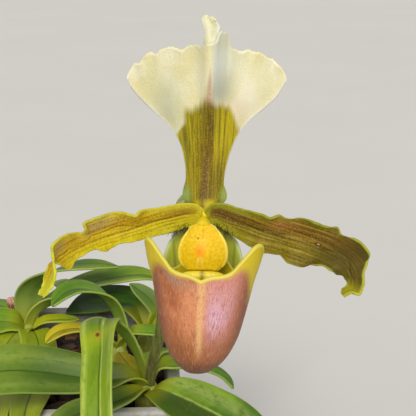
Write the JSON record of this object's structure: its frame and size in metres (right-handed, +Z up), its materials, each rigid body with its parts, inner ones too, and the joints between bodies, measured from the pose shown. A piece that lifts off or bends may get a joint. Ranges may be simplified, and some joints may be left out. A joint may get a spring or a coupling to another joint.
{
  "type": "paphiopedilum orchid in a pot",
  "caption": "Slipper orchid with a flared white dorsal sepal, crimped petals and a pouch-shaped lip on a leaning scape above strap leaves, growing in bark in a square clay pot.",
  "frame": {"origin": "centre of the pot's foot, on its underside", "axes": "+Z up, the flower faces -Y, and +X is to the right as seen from the flower's front"},
  "size_m": [0.161, 0.2542, 0.2293],
  "materials": {
    "pot_clay": "matte",
    "bark": "matte",
    "stalk": "matte",
    "dry_stub": "matte",
    "bract": "satin",
    "growth_base": "satin",
    "leaf": "satin",
    "leaf_yellowed": "satin",
    "dorsal_sepal": "satin",
    "synsepal": "satin",
    "petal": "satin",
    "lip": "satin",
    "column": "satin",
    "staminode": "gloss"
  },
  "bodies": {
    "root": {"pot": "pot_clay", "potting_bark": "bark", "scape": "stalk", "ovary": "stalk", "old_scape_stub": "dry_stub", "floral_bract": "bract", "front_growth_base": "growth_base", "left_growth_base": "growth_base", "middle_growth_base": "growth_base", "back_growth_base": "growth_base", "front_leaf_arching": "leaf", "front_leaf_right": "leaf", "front_leaf_inner": "leaf", "front_leaf_rear": "leaf", "front_leaf_left": "leaf", "front_leaf_low": "leaf", "front_leaf_yellowed": "leaf_yellowed", "left_leaf_tall": "leaf", "left_leaf_crossing": "leaf", "left_leaf_short": "leaf", "left_leaf_forward_inner": "leaf", "left_leaf_forward": "leaf", "left_leaf_side": "leaf", "left_leaf_rear": "leaf", "left_leaf_back": "leaf", "middle_leaf_arching": "leaf", "middle_leaf_right": "leaf", "middle_leaf_yellowed": "leaf_yellowed", "back_leaf_upright": "leaf", "back_leaf_left": "leaf", "back_leaf_rear": "leaf", "back_leaf_right": "leaf", "dorsal_sepal": "dorsal_sepal", "synsepal": "synsepal", "petal_left": "petal", "petal_right": "petal", "lip_pouch": "lip", "column": "column", "staminode": "staminode"}
  },
  "joints": []
}
